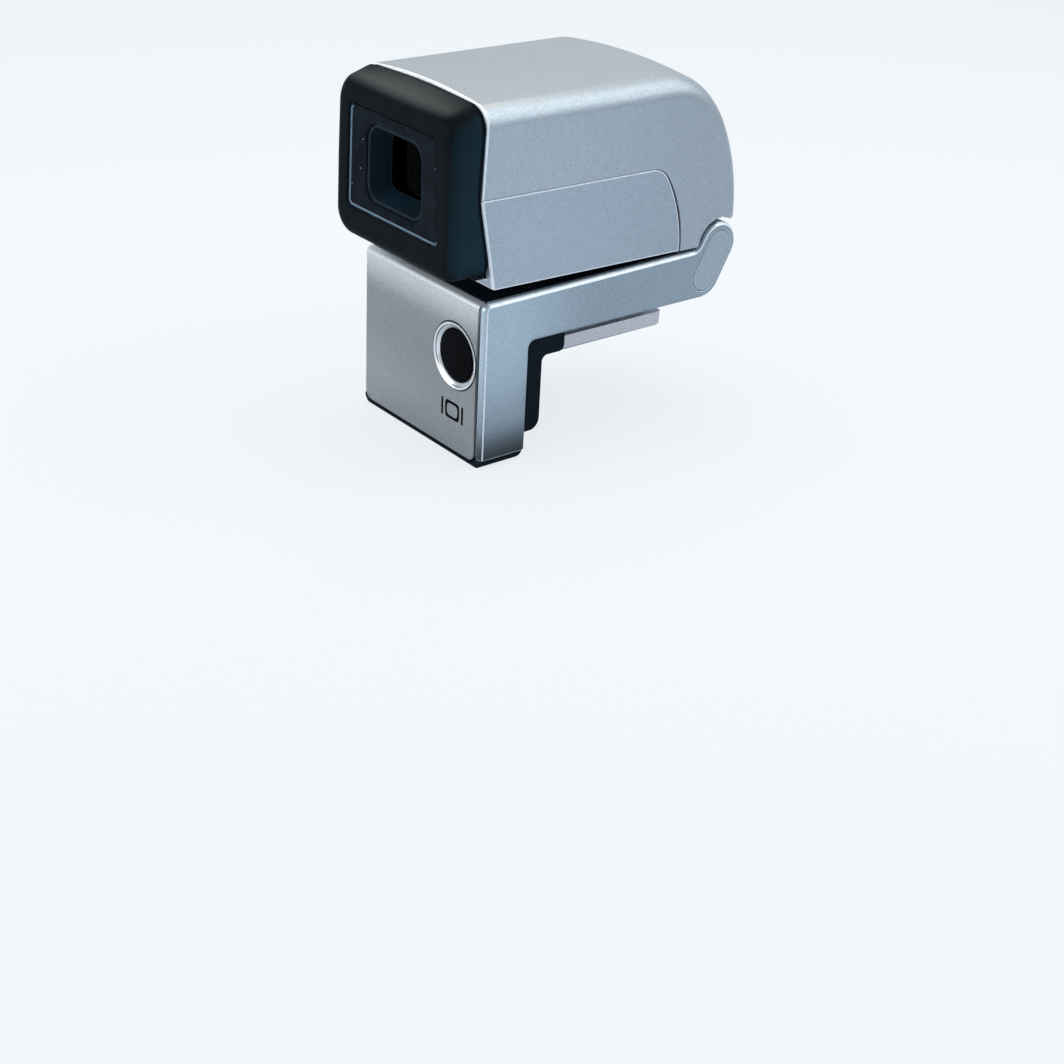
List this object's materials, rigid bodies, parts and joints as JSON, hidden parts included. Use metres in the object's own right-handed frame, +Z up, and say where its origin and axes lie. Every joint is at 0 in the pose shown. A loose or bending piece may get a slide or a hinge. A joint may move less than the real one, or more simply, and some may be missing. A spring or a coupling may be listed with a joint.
{
  "type": "electronic viewfinder",
  "caption": "Clip-on electronic viewfinder with a tilting eyepiece head, a silver arm over the shoe and a leg with a round button.",
  "frame": {"origin": "centre of the underside of the shoe foot", "axes": "+X to the right seen from behind the eyepiece, +Y forward away from the eye and into the shoe, +Z up"},
  "size_m": [0.026, 0.0461, 0.0461],
  "materials": {
    "silver_paint": "satin metallic paint with fine fleck over cast metal",
    "housing_paint": "satin metallic paint with fine fleck over plastic",
    "grey_paint": "satin metallic paint with fine fleck over plastic",
    "plate_paint": "satin metallic paint with fine fleck",
    "cap_plastic": "satin metallic paint over plastic",
    "black_plastic": "fine matt moulded plastic",
    "gloss_black": "polished",
    "rubber": "soft matt rubber",
    "gasket_rubber": "matt",
    "bright_aluminium": "turned bright",
    "steel": "brushed",
    "screw_steel": "blackened",
    "bush_brass": "turned",
    "contact_gold": "gold plated",
    "connector_plastic": "moulded",
    "lens_glass": "coated and clear",
    "display_glass": "polished, dark when off",
    "diffuser_film": "frosted white",
    "lamp": "clear over yellow",
    "circuit_board": "solder mask",
    "chip": "moulded package",
    "ribbon": "thin film"
  },
  "bodies": {
    "base": {"base_shell": "silver_paint", "rear_plate": "plate_paint", "button_ring": "bright_aluminium", "leg_frame": "black_plastic", "inner_cover": "black_plastic", "inner_cover_screws": "screw_steel", "arm_cover": "black_plastic", "arm_screws": "screw_steel", "shoe_foot": "steel", "foot_screws": "screw_steel", "hinge_pins": "steel", "pin_clips": "steel", "friction_washers": "steel", "hinge_cap_left": "cap_plastic", "hinge_cap_right": "cap_plastic", "base_pcb": "circuit_board", "base_chips": "chip", "pcb_screws": "screw_steel", "tact_switch": "steel", "connector_shell": "steel", "connector_tongue": "connector_plastic", "connector_contacts": "contact_gold", "base_flex": "ribbon", "lock_spring": "steel"},
    "head": {"top_cover": "grey_paint", "lower_housing": "housing_paint", "head_screws": "screw_steel", "hinge_bushes": "bush_brass", "eyecup": "rubber", "eyepiece_bezel": "gloss_black", "eyepiece_window": "lens_glass", "rear_frame": "black_plastic", "optics_tube": "black_plastic", "field_lens": "lens_glass", "display_holder": "black_plastic", "field_mask": "black_plastic", "display_gasket": "gasket_rubber", "display_panel": "display_glass", "diffuser": "diffuser_film", "light_guide": "diffuser_film", "backlight_leds": "lamp", "backlight_board": "circuit_board", "head_pcb": "circuit_board", "head_chips": "chip", "head_flex": "ribbon"},
    "dial": {"dioptre_dial": "black_plastic"},
    "lens_group": {"lens_carrier": "black_plastic", "eye_lens_rear": "lens_glass", "lens_spacer": "black_plastic", "eye_lens_front": "lens_glass"},
    "button": {"mode_button": "gloss_black"},
    "lock_lever": {"lock_lever": "black_plastic"},
    "lock_pin": {"lock_pin": "steel"}
  },
  "joints": [
    {"name": "head_tilt", "type": "hinge", "parent": "base", "child": "head", "pos_m": [0, 0.015, 0.01105], "axis": [-1, 0, 0], "range_deg": [0, 90]},
    {"name": "dioptre_dial_turn", "type": "hinge", "parent": "head", "child": "dial", "pos_m": [-0.0126, -0.0133, 0.01855], "axis": [-1, 0, 0], "range_deg": [-40, 40]},
    {"name": "lens_slide", "type": "slide", "parent": "head", "child": "lens_group", "axis": [0, 1, 0], "range_m": [-0.00076, 0.00076]},
    {"name": "mode_button_press", "type": "slide", "parent": "base", "child": "button", "axis": [0, 1, 0], "range_m": [0, 0.0005], "stiffness_N_per_m": 600, "springref_m": -0.001},
    {"name": "lock_lever_slide", "type": "slide", "parent": "base", "child": "lock_lever", "axis": [0, 1, 0], "range_m": [0, 0.003]},
    {"name": "lock_pin_lift", "type": "slide", "parent": "base", "child": "lock_pin", "axis": [0, 0, 1], "range_m": [0, 0.0012], "stiffness_N_per_m": 150, "springref_m": -0.002, "deforming": ["lock_spring"]}
  ],
  "couplings": [
    {"joint": "dioptre_dial_turn", "follows": "lens_slide", "rad_per_m": 909.09},
    {"joint": "lock_pin_lift", "follows": "lock_lever_slide", "ratio": 0.4}
  ]
}
